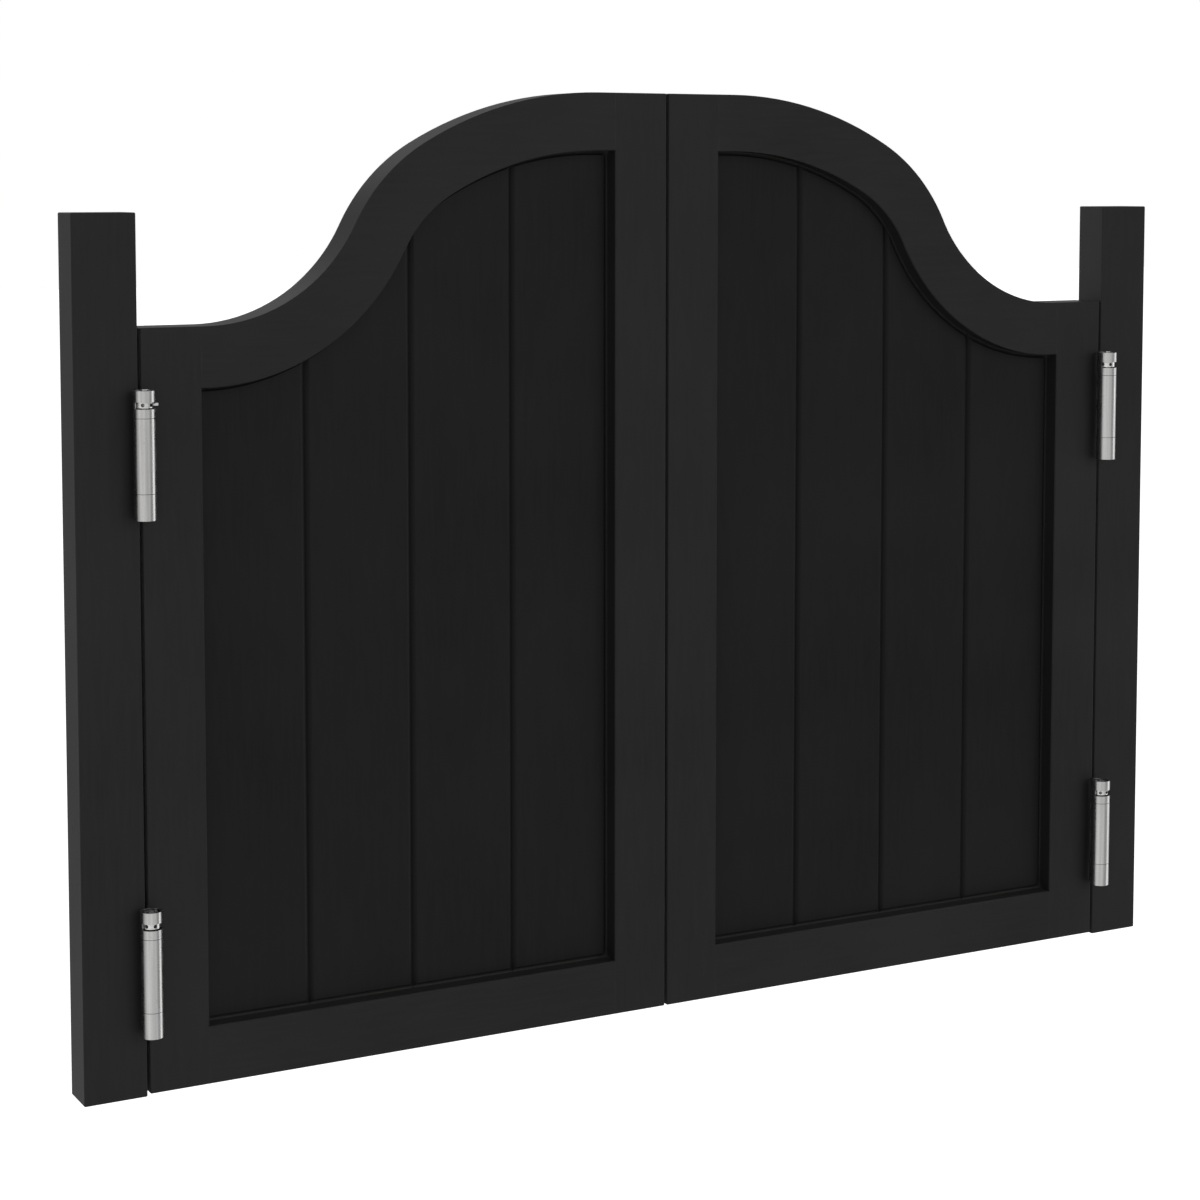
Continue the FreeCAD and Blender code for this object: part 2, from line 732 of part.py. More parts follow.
def make_post(side, hinge_parts):
    """A post with two countersunk fixing holes, let in for its hinge leaves."""
    label = SIDE_NAME[side] + "_post"
    body = new_body(label + "_blank")
    section = new_sketch(body, "XY_Plane")
    draw_rectangle(section, f"{side} * Places.post_inner", f"{side} * Sizes.overall_width / 2",
                   "-Places.half_depth", "Places.half_depth")
    pad(body, section, "Sizes.post_height")
    round_edges(body, lambda edge: True)

    inner_face = new_sketch(body, "YZ_Plane", f"{side} * Places.post_inner")
    for height in ("Sizes.mount_hole_height", "Sizes.mount_hole_height + Sizes.mount_hole_spacing"):
        draw_circle(inner_face, "0", height, "Sizes.mount_hole_radius")
    doc.recompute()
    before = body.Shape.Volume
    hole = body.newObject("PartDesign::Hole", label + "_fixing_holes")
    hole.Profile = inner_face
    hole.DepthType = "ThroughAll"
    hole.setExpression("Diameter", "2 * Sizes.mount_hole_radius")
    hole.HoleCutType = "Countersink"
    hole.HoleCutCustomValues = True
    hole.setExpression("HoleCutDiameter", "2 * Sizes.mount_head_radius")
    hole.HoleCutCountersinkAngle = 90
    hole.Reversed = side == RIGHT
    doc.recompute()
    if body.Shape.Volume >= before:
        raise RuntimeError(f"{hole.Name} cuts nothing")
    return keep(cut_away(label, body, hinge_parts), label)


# ---------------------------------------------------------------------------
# Doors
# ---------------------------------------------------------------------------

def make_stile_blank(side, name, near, far, top, inner):
    """An upright of a door's frame, between two distances from the hinge edge.

    Its edges are rounded, but not at its inner face, where the rails join it.  Between
    the rails the inner edges are bevelled.
    """
    body = new_body(f"{SIDE_NAME[side]}_{name}_blank")
    section = new_sketch(body, "XY_Plane", "Sizes.door_lift")
    draw_rectangle(section, across(side, near), across(side, far),
                   "-Places.half_depth", "Places.half_depth")
    pad(body, section, f"{top} - Sizes.door_lift")
    inner_x = number(across(side, inner))
    round_edges(body, lambda edge: abs(middle_of(edge).x - inner_x) > TOUCHING)

    bevel = "Sizes.arris_bevel"
    out = "+" if inner == near else "-"       # from the opening into the stile
    back = "-" if inner == near else "+"
    for face in (FRONT, REAR):
        sign = "-" if face == FRONT else ""
        triangle = new_sketch(body, "XY_Plane", "Places.opening_bottom")
        draw_polygon(triangle, [
            (across(side, f"{inner} {out} 2 * {bevel}"), f"{sign}(Places.half_depth + {bevel})"),
            (across(side, f"{inner} {back} {bevel}"), f"{sign}(Places.half_depth + {bevel})"),
            (across(side, f"{inner} {back} {bevel}"), f"{sign}(Places.half_depth - 2 * {bevel})"),
        ])
        pocket(body, triangle, f"{top} - Sizes.top_rail_height - Places.opening_bottom", True)
    return body


def add_tenon(body, side, near, far, low, high):
    tenon = new_sketch(body, "XZ_Plane")
    draw_rectangle(tenon, across(side, near), across(side, far), low, high)
    pad(body, tenon, "Sizes.tenon_thickness", symmetric=True)


def make_bottom_rail_blank(side):
    """The bottom rail between the stiles, with a tenon at each end."""
    body = new_body(SIDE_NAME[side] + "_bottom_rail_blank")
    face = new_sketch(body, "XZ_Plane")
    draw_rectangle(face, across(side, "Places.opening_start"), across(side, "Places.opening_end"),
                   "Sizes.door_lift", "Places.opening_bottom")
    pad(body, face, "Sizes.frame_depth", symmetric=True)
    top = number("Places.opening_bottom")
    bottom = number("Sizes.door_lift")
    round_edges(body, lambda edge: on_face(edge) and abs(middle_of(edge).z - bottom) < TOUCHING)
    dress_edges(body, "Chamfer", "Sizes.arris_bevel",
                lambda edge: on_face(edge) and abs(middle_of(edge).z - top) < TOUCHING)
    add_tenon(body, side, "Places.opening_start - Sizes.tenon_length",
              "Places.opening_end + Sizes.tenon_length",
              "Sizes.door_lift + Sizes.tenon_shoulder",
              "Places.opening_bottom - Sizes.housing_depth - Sizes.tenon_clear")
    return body


def make_top_rail_blank(side):
    """The curved top rail, of constant width, with a tenon at each end."""
    body = new_body(SIDE_NAME[side] + "_top_rail_blank")
    begin, end = number("Places.opening_start"), number("Places.opening_end")
    upper, upper_first, upper_last = top_curve(side, 0, begin, end)
    lower, lower_first, lower_last = top_curve(side, number("Sizes.top_rail_height"), begin, end)
    face = new_sketch(body, "XZ_Plane")
    draw_wire(face, upper + [Part.LineSegment(upper_last, lower_last)]
              + lower[::-1] + [Part.LineSegment(lower_first, upper_first)])
    pad(body, face, "Sizes.frame_depth", symmetric=True)
    round_edges(body, lambda edge: follows(edge, upper))
    dress_edges(body, "Chamfer", "Sizes.arris_bevel", lambda edge: follows(edge, lower))
    housing = " - Sizes.top_rail_height + Sizes.housing_depth + Sizes.tenon_clear"
    for near, far, top in (
        ("Places.opening_start - Sizes.tenon_length", "Places.opening_start",
         "Sizes.shoulder_height"),
        ("Places.opening_end", "Places.opening_end + Sizes.tenon_length",
         "Sizes.crest_height"),
    ):
        add_tenon(body, side, near, far, top + housing, top + " - Sizes.tenon_shoulder")
    return body


def make_panel_blank(side):
    """All the boards of a door as one: a thin core housed in the frame, and a raised
    field on each face with a bevel all round."""
    body = new_body(SIDE_NAME[side] + "_panel_blank")
    housing = number("Sizes.housing_depth")
    core = new_sketch(body, "XZ_Plane", "-Places.board_middle")
    draw_wire(core, opening_outline(side, -housing))
    pad(body, core, "Sizes.edge_thickness", symmetric=True)
    for toward in ("-", "+"):
        foot = new_sketch(body, "XZ_Plane",
                          f"-(Places.board_middle {toward} Sizes.edge_thickness / 2)")
        draw_wire(foot, opening_outline(side, 0))
        face = new_sketch(body, "XZ_Plane",
                          f"-(Places.board_middle {toward} Sizes.board_thickness / 2)")
        draw_wire(face, opening_outline(side, number("Sizes.bevel_width")))
        doc.recompute()
        field = body.newObject("PartDesign::AdditiveLoft", body.Name + "_field")
        field.Profile = foot
        field.Sections = [face]
        field.Ruled = True
        doc.recompute()
    return body


def joint_distance(number_of_joint):
    """The distance from the hinge edge to a joint between boards."""
    middle = "(Places.opening_start + Places.opening_end) / 2"
    return f"{middle} + {number_of_joint - BOARDS_PER_DOOR / 2} * Sizes.board_pitch"


def board_section(side, index):
    """Plan of one board: tongue on the far edge, groove on the near one, bevelled joints."""
    middle = "Places.board_middle"
    front, back = (f"{middle} {sign} Sizes.board_thickness / 2" for sign in "-+")
    lip_front, lip_back = (f"{middle} {sign} Sizes.edge_thickness / 2" for sign in "-+")
    tongue_front, tongue_back = (f"{middle} {sign} Sizes.tongue_thickness / 2" for sign in "-+")
    near, far = joint_distance(index), joint_distance(index + 1)
    bevel, tongue = "Sizes.bevel_width", "Sizes.tongue_length"

    if index == 0:
        past = "Places.opening_start - 2 * Sizes.housing_depth"
        near_side = [(past, back), (past, front)]
    else:
        near_side = [
            (f"{near} + {bevel}", back), (near, lip_back), (near, tongue_back),
            (f"{near} + {tongue}", tongue_back), (f"{near} + {tongue}", tongue_front),
            (near, tongue_front), (near, lip_front), (f"{near} + {bevel}", front),
        ]
    if index == BOARDS_PER_DOOR - 1:
        past = "Places.opening_end + 2 * Sizes.housing_depth"
        far_side = [(past, front), (past, back)]
    else:
        far_side = [
            (f"{far} - {bevel}", front), (far, lip_front), (far, tongue_front),
            (f"{far} + {tongue}", tongue_front), (f"{far} + {tongue}", tongue_back),
            (far, tongue_back), (far, lip_back), (f"{far} - {bevel}", back),
        ]
    return [(across(side, distance), y) for distance, y in near_side + far_side]


def make_board(side, index, panel):
    """One board: the panel within the board's own section."""
    label = f"{SIDE_NAME[side]}_board_{index + 1}"
    section = new_body(label + "_section")
    plan = new_sketch(section, "XY_Plane")
    draw_polygon(plan, board_section(side, index))
    pad(section, plan, "Sizes.crest_height")
    board = doc.addObject("Part::Common", label)
    board.Base = panel
    board.Tool = section
    doc.recompute()
    return keep(board, label)


def make_door(side, leaves, screws):
    """The frame and the boards of one door, let in for its hinge leaves."""
    name = SIDE_NAME[side]
    panel = make_panel_blank(side)
    bottom_rail = make_bottom_rail_blank(side)
    top_rail = make_top_rail_blank(side)
    start, end = "Places.opening_start", "Places.opening_end"
    hinge_stile = make_stile_blank(side, "hinge_stile", "0", start,
                                   "Sizes.shoulder_height", inner=start)
    meeting_stile = make_stile_blank(side, "meeting_stile", end, "Places.door_width",
                                     "Sizes.crest_height", inner=end)
    rails = [bottom_rail, top_rail]
    for label, blank, tools in (
        ("hinge_stile", hinge_stile, rails + [panel] + leaves + [screws]),
        ("meeting_stile", meeting_stile, rails + [panel]),
        ("bottom_rail", bottom_rail, [panel]),
        ("top_rail", top_rail, [panel]),
    ):
        keep(cut_away(f"{name}_{label}", blank, tools), f"{name}_{label}")
    for index in range(BOARDS_PER_DOOR):
        make_board(side, index, panel)


# ---------------------------------------------------------------------------
# Assembly and export
# ---------------------------------------------------------------------------

leaves, screws = make_hinges()
for side in (LEFT, RIGHT):
    post_leaves = [leaf for leaf in leaves["post"] if leaf.Label.startswith(SIDE_NAME[side])]
    make_post(side, post_leaves + [screws["post"]])
    door = SIDE_NAME[side] + "_door"
    make_door(side, leaves[door], screws[door])
doc.recompute()

for item in doc.Objects:
    if "Invalid" in item.State or "Error" in item.State:
        raise RuntimeError(f"{item.Label} failed: {item.State}")
for item in nodes:
    if item.Shape.isNull() or not item.Shape.isValid() or not item.Shape.Solids:
        raise RuntimeError(f"{item.Label} has no valid solid")

os.makedirs("parts", exist_ok=True)
for item in nodes:
    item.Shape.exportStep(f"parts/{item.Label}.step")
print(f"{len(nodes)} parts written")
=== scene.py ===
"""The looks of a pair of cafe swinging doors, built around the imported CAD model.

Lengths are metres in the CAD's own frame: +X to the right, +Y to the back, +Z up.
"""

import json
import math

import bmesh
import bpy
from mathutils import Matrix, Vector

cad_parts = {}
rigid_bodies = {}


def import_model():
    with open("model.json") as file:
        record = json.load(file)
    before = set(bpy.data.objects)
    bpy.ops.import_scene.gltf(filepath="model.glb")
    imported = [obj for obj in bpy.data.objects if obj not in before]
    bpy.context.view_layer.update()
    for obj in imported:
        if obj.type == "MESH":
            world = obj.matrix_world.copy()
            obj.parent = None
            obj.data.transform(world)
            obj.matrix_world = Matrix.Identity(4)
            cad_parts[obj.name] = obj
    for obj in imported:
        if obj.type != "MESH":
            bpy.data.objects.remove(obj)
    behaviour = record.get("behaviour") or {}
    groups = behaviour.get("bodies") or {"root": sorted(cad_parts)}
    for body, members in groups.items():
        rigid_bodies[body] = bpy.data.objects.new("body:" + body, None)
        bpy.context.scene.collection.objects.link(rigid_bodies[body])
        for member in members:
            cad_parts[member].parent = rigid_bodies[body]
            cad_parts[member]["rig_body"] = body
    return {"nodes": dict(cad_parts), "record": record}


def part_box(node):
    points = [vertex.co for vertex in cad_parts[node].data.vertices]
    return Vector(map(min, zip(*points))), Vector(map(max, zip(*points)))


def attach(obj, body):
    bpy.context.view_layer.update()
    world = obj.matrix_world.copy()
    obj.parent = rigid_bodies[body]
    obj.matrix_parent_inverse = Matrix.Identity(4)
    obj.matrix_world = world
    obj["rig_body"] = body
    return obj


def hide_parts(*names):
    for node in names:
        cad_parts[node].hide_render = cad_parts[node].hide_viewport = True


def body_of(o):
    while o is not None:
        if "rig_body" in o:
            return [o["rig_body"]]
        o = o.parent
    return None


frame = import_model()
nodes = frame["nodes"]
scene = bpy.context.scene

# The bounds are only right after every mesh and the view layer are up to date.
for node in nodes.values():
    node.data.update()
bpy.context.view_layer.update()


# ---------------------------------------------------------------------------
# Material building
# ---------------------------------------------------------------------------

BEVEL_SAMPLES, OCCLUSION_SAMPLES = 6, 8
EDGE_FLAT, EDGE_SHARP = 0.99, 0.80   # cosine between the true and the bevelled normal

# Parts of a noise's range. Most of a noise lies in the first two.
WIDE_MIDDLE, NARROW_MIDDLE = (0.3, 0.7), (0.35, 0.65)
PATCHES, RARE_SPOTS = (0.40, 0.70), (0.62, 0.78)

PRINCIPLED_SOCKETS = {
    "base": "Base Color",
    "metallic": "Metallic",
    "roughness": "Roughness",
    "specular": "Specular IOR Level",
    "normal": "Normal",
}


class Look:
    """A material's node tree, with short calls for the nodes it needs."""

    def __init__(self, name):
        self.material = bpy.data.materials.new(name)
        self.material.use_nodes = True
        self.tree = self.material.node_tree
        self.tree.nodes.clear()
        self.output = self.tree.nodes.new("ShaderNodeOutputMaterial")
        self.shader = self.tree.nodes.new("ShaderNodeBsdfPrincipled")
        self.link(self.shader.outputs["BSDF"], self.output.inputs["Surface"])
        self.place = self.tree.nodes.new("ShaderNodeTexCoord").outputs["Object"]

    def link(self, source, target):
        self.tree.links.new(source, target)

    def set(self, node, values):
        for name, value in values.items():
            socket = node.inputs[name]
            if isinstance(value, bpy.types.NodeSocket):
                self.link(value, socket)
            else:
                socket.default_value = value

    def principled(self, **values):
        self.set(self.shader, {PRINCIPLED_SOCKETS[key]: value
                               for key, value in values.items()})

    def stretched(self, scale):
        """Object coordinates, scaled by axis."""
        node = self.tree.nodes.new("ShaderNodeMapping")
        self.link(self.place, node.inputs["Vector"])
        node.inputs["Scale"].default_value = scale
        return node.outputs["Vector"]

    def noise(self, vector, scale, detail=2.0, roughness=0.5):
        node = self.tree.nodes.new("ShaderNodeTexNoise")
        self.link(vector, node.inputs["Vector"])
        self.set(node, {"Scale": scale, "Detail": detail, "Roughness": roughness})
        return node.outputs["Fac"]

    def remap(self, value, from_low, from_high, to_low, to_high, smooth=False):
        node = self.tree.nodes.new("ShaderNodeMapRange")
        node.interpolation_type = "SMOOTHSTEP" if smooth else "LINEAR"
        self.set(node, {"Value": value, "From Min": from_low, "From Max": from_high,
                        "To Min": to_low, "To Max": to_high})
        return node.outputs["Result"]

    def spread(self, noise, low, high, part=WIDE_MIDDLE):
        """From low to high over a part of the noise's range."""
        return self.remap(noise, *part, low, high)

    def math(self, operation, *values):
        node = self.tree.nodes.new("ShaderNodeMath")
        node.operation = operation
        for index, value in enumerate(values):
            if isinstance(value, bpy.types.NodeSocket):
                self.link(value, node.inputs[index])
            else:
                node.inputs[index].default_value = value
        return node.outputs["Value"]

    def mix(self, factor, first, second):
        """Between two colours, each a colour or a socket."""
        node = self.tree.nodes.new("ShaderNodeMix")
        node.data_type = "RGBA"
        share, start, end = (node.inputs[index] for index in (0, 6, 7))
        for socket, value in ((share, factor), (start, first), (end, second)):
            if isinstance(value, bpy.types.NodeSocket):
                self.link(value, socket)
            else:
                socket.default_value = value
        return node.outputs[2]

    def edge_mask(self, radius):
        """About 1 on edges and 0 on flat faces, from a bevelled normal."""
        bevel = self.tree.nodes.new("ShaderNodeBevel")
        bevel.samples = BEVEL_SAMPLES
        bevel.inputs["Radius"].default_value = radius
        geometry = self.tree.nodes.new("ShaderNodeNewGeometry")
        dot = self.tree.nodes.new("ShaderNodeVectorMath")
        dot.operation = "DOT_PRODUCT"
        self.link(bevel.outputs["Normal"], dot.inputs[0])
        self.link(geometry.outputs["Normal"], dot.inputs[1])
        return self.remap(dot.outputs["Value"], EDGE_FLAT, EDGE_SHARP, 0.0, 1.0, smooth=True)

    def recess_mask(self, reach, open_from=0.75, closed_from=0.25):
        """About 1 deep in holes and seams narrower than the reach, and 0 in the open."""
        node = self.tree.nodes.new("ShaderNodeAmbientOcclusion")
        node.samples = OCCLUSION_SAMPLES
        node.inputs["Distance"].default_value = reach
        return self.remap(node.outputs["AO"], open_from, closed_from, 0.0, 1.0)

    def bump(self, *layers):
        """A normal from layers, each a height socket and its height in metres."""
        normal = None
        for height, distance in layers:
            node = self.tree.nodes.new("ShaderNodeBump")
            node.inputs["Strength"].default_value = 1.0
            node.inputs["Distance"].default_value = distance
            self.link(height, node.inputs["Height"])
            if normal is not None:
                self.link(normal, node.inputs["Normal"])
            normal = node.outputs["Normal"]
        return normal


def grey(value, warm=0.0):
    """A linear grey, a little warm or cool."""
    return (value * (1 + warm), value, value * (1 - warm), 1.0)


# In the materials, noise scales are per metre and lengths are metres.
FIBRE_SCALE, PORE_SCALE, STIPPLE_SCALE, PAINT_CLOUD_SCALE = 420.0, 1500.0, 900.0, 7.0
FIBRE_HEIGHT, PORE_HEIGHT, STIPPLE_HEIGHT = 0.00003, 0.000008, 0.000012
FIBRE_STRETCH = 0.06              # scale of the noise along the grain, 1 across it
# Lighter edges: worn paint in patches, and a painted highlight along every edge at the least
# share.
WEAR_HIGHLIGHT_REACH, WEAR_PATCH_SCALE, EDGE_HIGHLIGHT_LEAST, WEAR_HIGHLIGHT_SHARE = 0.0012, 60.0, 0.15, 0.5
WORN_PAINT_HIGHLIGHT = grey(0.05, 0.04)
# Painted shade in grooves and inner corners.
GROOVE_SHADE_REACH, GROOVE_SHADE_OPEN, GROOVE_SHADE_CLOSED = 0.004, 0.98, 0.82
# Lighter colour in seams and gaps: partly dust, partly painted light that lifts their shade.
DUST_LIGHT_REACH, DUST_LIGHT_OPEN, DUST_LIGHT_CLOSED, DUST_LIGHT_SHARE = 0.006, 0.50, 0.10, 0.8
DUST_AND_GAP_LIGHT = grey(0.10, 0.03)
PAINT_LOW, PAINT_HIGH = 0.88, 1.12   # shades of the base in clouds
FIBRE_SHADE, FIBRE_SHARE = 1.35, 0.35
PAINT_GLOSS_RANGE = 0.03


def painted_wood(name, grain, base, specular, roughness, groove_shade=1.0):
    """Satin black paint over timber; grain is the axis that the fibres follow.

    In grooves and inner corners the colour is darkened as painted shade; the last argument is
    the share of the base that is left there.
    """
    look = Look(name)
    along = {"X": (FIBRE_STRETCH, 1.0, 1.0), "Z": (1.0, 1.0, FIBRE_STRETCH)}[grain]
    fibres = look.noise(look.stretched(along), FIBRE_SCALE, detail=3.0, roughness=0.6)
    pores = look.noise(look.stretched(along), PORE_SCALE, detail=1.0)
    stipple = look.noise(look.place, STIPPLE_SCALE)
    clouds = look.noise(look.place, PAINT_CLOUD_SCALE, detail=3.0)

    clouded = look.mix(look.spread(clouds, 0.0, 1.0), grey(base * PAINT_LOW, 0.01),
                       grey(base * PAINT_HIGH, -0.01))
    grained = look.mix(look.spread(fibres, 0.0, FIBRE_SHARE, NARROW_MIDDLE), clouded,
                       grey(base * FIBRE_SHADE))

    # Lighter edges: partly worn paint in patches, partly a painted highlight along every edge.
    patches = look.noise(look.place, WEAR_PATCH_SCALE, detail=4.0)
    worn_and_highlit = look.math("MULTIPLY", look.edge_mask(WEAR_HIGHLIGHT_REACH),
                     look.spread(patches, EDGE_HIGHLIGHT_LEAST, 1.0, PATCHES))
    worn_and_painted_light = look.mix(look.math("MULTIPLY", worn_and_highlit, WEAR_HIGHLIGHT_SHARE), grained, WORN_PAINT_HIGHLIGHT)
    # Painted shade: the colour is darker in grooves and inner corners.
    if groove_shade < 1:
        painted_groove_shade = look.recess_mask(GROOVE_SHADE_REACH, GROOVE_SHADE_OPEN, GROOVE_SHADE_CLOSED)
        worn_and_painted_light = look.mix(painted_groove_shade, worn_and_painted_light, grey(base * groove_shade))
    # Lighter colour in seams and gaps: partly dust, partly painted light that lifts their
    # shade.
    seams = look.recess_mask(DUST_LIGHT_REACH, DUST_LIGHT_OPEN, DUST_LIGHT_CLOSED)
    dust_and_gap_light = look.mix(look.math("MULTIPLY", seams, DUST_LIGHT_SHARE), worn_and_painted_light, DUST_AND_GAP_LIGHT)

    lowest, highest = roughness - PAINT_GLOSS_RANGE, roughness + PAINT_GLOSS_RANGE
    rough = look.math("ADD", look.spread(clouds, lowest, highest),
                      look.spread(stipple, -PAINT_GLOSS_RANGE, PAINT_GLOSS_RANGE))
    normal = look.bump((fibres, FIBRE_HEIGHT), (pores, PORE_HEIGHT),
                       (stipple, STIPPLE_HEIGHT))
    look.principled(base=dust_and_gap_light, specular=specular, roughness=rough, normal=normal)
    return look.material


MARK_HEIGHT, PLATE_GRAIN_HEIGHT = 0.000006, 0.000002
PLATE_GRAIN_SCALE, PLATE_CLOUD_SCALE, SPOT_SCALE = 2600.0, 90.0, 420.0
PLATE_LOW, PLATE_HIGH = 0.82, 1.16   # shades of the tone in brush marks
STAIN_SHADE, STAIN_SHARE = 0.7, 0.5
# Painted shade in holes and seams of the steel.
HOLE_SHADE_REACH = 0.0022
PAINTED_HOLE_SHADE = grey(0.02, 0.05)
PLATE_SMOOTHER, PLATE_ROUGHER, PLATE_GLOSS_RANGE = 0.04, 0.05, 0.03


def plated_steel(name, tone, roughness, streaks):
    """Satin nickel plate; streaks is the scale of its brush marks by axis."""
    look = Look(name)
    lines = look.noise(look.stretched(streaks), 1.0, detail=3.0, roughness=0.6)
    grain = look.noise(look.place, PLATE_GRAIN_SCALE)
    clouds = look.noise(look.place, PLATE_CLOUD_SCALE, detail=3.0)
    spots = look.noise(look.place, SPOT_SCALE, detail=3.0)

    tint = look.mix(look.spread(lines, 0.0, 1.0), grey(tone * PLATE_LOW, 0.012),
                    grey(tone * PLATE_HIGH, 0.006))
    stained = look.mix(look.spread(spots, 0.0, STAIN_SHARE, RARE_SPOTS), tint,
                       grey(tone * STAIN_SHADE, 0.03))
    # Painted shade: the colour is darker in holes and seams.
    hole_shaded = look.mix(look.recess_mask(HOLE_SHADE_REACH), stained, PAINTED_HOLE_SHADE)

    lowest, highest = roughness - PLATE_SMOOTHER, roughness + PLATE_ROUGHER
    rough = look.math("ADD", look.spread(clouds, lowest, highest),
                      look.spread(grain, -PLATE_GLOSS_RANGE, PLATE_GLOSS_RANGE))
    normal = look.bump((lines, MARK_HEIGHT), (grain, PLATE_GRAIN_HEIGHT))
    look.principled(base=hole_shaded, metallic=1.0, roughness=rough, normal=normal)
    return look.material


def plain_stuff(name, cloud_scale, cloud_detail, grain_scale, grain_height, dark, light,
                smooth, rough, metallic):
    """A clouded colour and a fine grain, which also varies the roughness."""
    look = Look(name)
    clouds = look.noise(look.place, cloud_scale, detail=cloud_detail)
    grain = look.noise(look.place, grain_scale)
    tint = look.mix(look.spread(clouds, 0.0, 1.0, NARROW_MIDDLE), dark, light)
    look.principled(base=tint, metallic=metallic, roughness=look.spread(grain, smooth, rough),
                    normal=look.bump((grain, grain_height)))
    return look.material


FRAME_BASE, FRAME_SPECULAR, FRAME_ROUGHNESS = 0.0172, 0.06, 0.38
BOARD_BASE, BOARD_SPECULAR, BOARD_ROUGHNESS, BOARD_GROOVE_SHADE = 0.0126, 0.03, 0.38, 0.5

frame_upright = painted_wood("frame_paint_upright", "Z", FRAME_BASE, FRAME_SPECULAR,
                             FRAME_ROUGHNESS)
frame_level = painted_wood("frame_paint_level", "X", FRAME_BASE, FRAME_SPECULAR,
                           FRAME_ROUGHNESS)
# The boards carry painted shade in their grooves and inner corners.
board_paint = painted_wood("board_paint", "Z", BOARD_BASE, BOARD_SPECULAR, BOARD_ROUGHNESS,
                           BOARD_GROOVE_SHADE)
tube_steel = plated_steel("tube_steel", tone=0.38, roughness=0.28,
                          streaks=(600.0, 600.0, 9.0))
turned_steel = plated_steel("turned_steel", tone=0.50, roughness=0.26,
                            streaks=(60.0, 60.0, 2200.0))
screw_steel = plated_steel("screw_steel", tone=0.24, roughness=0.32,
                           streaks=(900.0, 900.0, 900.0))
wire = plain_stuff("spring_wire", cloud_scale=160.0, cloud_detail=4.0,
                   grain_scale=2500.0, grain_height=0.000003,
                   dark=grey(0.16, 0.03), light=grey(0.30, 0.01),
                   smooth=0.34, rough=0.48, metallic=1.0)
bush_nylon = plain_stuff("bush_nylon", cloud_scale=120.0, cloud_detail=3.0,
                         grain_scale=1800.0, grain_height=0.000004,
                         dark=(0.60, 0.585, 0.54, 1.0), light=(0.68, 0.665, 0.625, 1.0),
                         smooth=0.45, rough=0.58, metallic=0.0)


def dress(name, material):
    for slot in nodes[name].material_slots:
        slot.material = material


for name in nodes:
    if name.endswith(("_post", "_stile")):
        dress(name, frame_upright)
    elif name.endswith("_rail"):
        dress(name, frame_level)
    elif "_board_" in name:
        dress(name, board_paint)
    elif name.endswith("_spring"):
        dress(name, wire)
    elif name.endswith("_bushes"):
        dress(name, bush_nylon)
    elif name.endswith(("_leaf", "_web")):
        dress(name, tube_steel)
    else:
        dress(name, turned_steel)


# ---------------------------------------------------------------------------
# Coiled springs and threaded screws
# ---------------------------------------------------------------------------

WIRE = 0.0019                     # spring wire, coils almost touching
COIL_PITCH = 1.03 * WIRE
COIL_STEPS, WIRE_STEPS = 28, 10   # points around a coil and around the wire

SCREW_STEPS = 24
SHANK_RADIUS, CORE_RADIUS = 0.0017, 0.00125
SCREW_SINK = 0.0015               # depth of the countersunk head
SCREW_TIP = 0.004
PLAIN_SHARE = 0.2                 # of a screw's length, bare of thread
RECESS_REACH, RECESS_WIDTH, RECESS_DEPTH = 0.0020, 0.0005, 0.0013
RECESS_FOOT = 0.4                 # size of the recess at its bottom, 1 at the face
THREAD_PITCH, THREAD_FOOT = 0.0014, 0.0005
THREAD_ROOT = 0.9                 # where the ridge sinks into the core
SCREW_ROLL = 0.8                  # radians between the recesses of neighbours

FILL_DEPTH, FILL_BEVEL, FILL_SINK = 0.003, 0.0001, 0.00002
FILL_FACE = 0.9                   # size of the filler's face, 1 at the foot of its bevel

SHARP_ANGLE = math.radians(35)    # edges that bend more than this stay sharp
WELD, NEAR = 1e-5, 1e-4           # distances that count as none
TURN = 2 * math.pi


def add_piece(name, shape, material, carrier):
    """Make the shape a piece that moves with the body of a CAD node."""
    data = bpy.data.meshes.new(name)
    shape.to_mesh(data)
    shape.free()
    data.materials.append(material)
    data.shade_smooth()
    data.set_sharp_from_angle(angle=SHARP_ANGLE)
    piece = bpy.data.objects.new(name, data)
    scene.collection.objects.link(piece)
    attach(piece, body_of(nodes[carrier])[0])
    return piece


def bridge(shape, first, second):
    """Quads between two closed rings with the same number of points."""
    for i in range(len(first)):
        shape.faces.new((first[i - 1], first[i], second[i], second[i - 1]))


def coil(name):
    """A close-wound spring that fills the sleeve of its CAD node."""
    low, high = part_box(name)
    axis = (low + high) / 2
    mean_radius = (high.x - low.x - WIRE) / 2
    climb = high.z - low.z - WIRE
    turns = climb / COIL_PITCH
    steps = int(turns * COIL_STEPS)
    shape = bmesh.new()
    rings = []
    for step in range(steps + 1):
        angle = TURN * turns * step / steps
        outward = Vector((math.cos(angle), math.sin(angle), 0))
        middle = outward * mean_radius
        middle += Vector((axis.x, axis.y, low.z + WIRE / 2 + climb * step / steps))
        section = []
        for corner in range(WIRE_STEPS):
            around = TURN * corner / WIRE_STEPS
            offset = outward * math.cos(around) + Vector((0, 0, math.sin(around)))
            section.append(shape.verts.new(middle + offset * WIRE / 2))
        rings.append(section)
    for first, second in zip(rings, rings[1:]):
        bridge(shape, first, second)
    shape.faces.new(rings[0])
    shape.faces.new(rings[-1][::-1])
    return shape


def ring(shape, radius, height):
    """A circle of points around the Z axis."""
    return [shape.verts.new((radius * math.cos(TURN * i / SCREW_STEPS),
                             radius * math.sin(TURN * i / SCREW_STEPS), height))
            for i in range(SCREW_STEPS)]


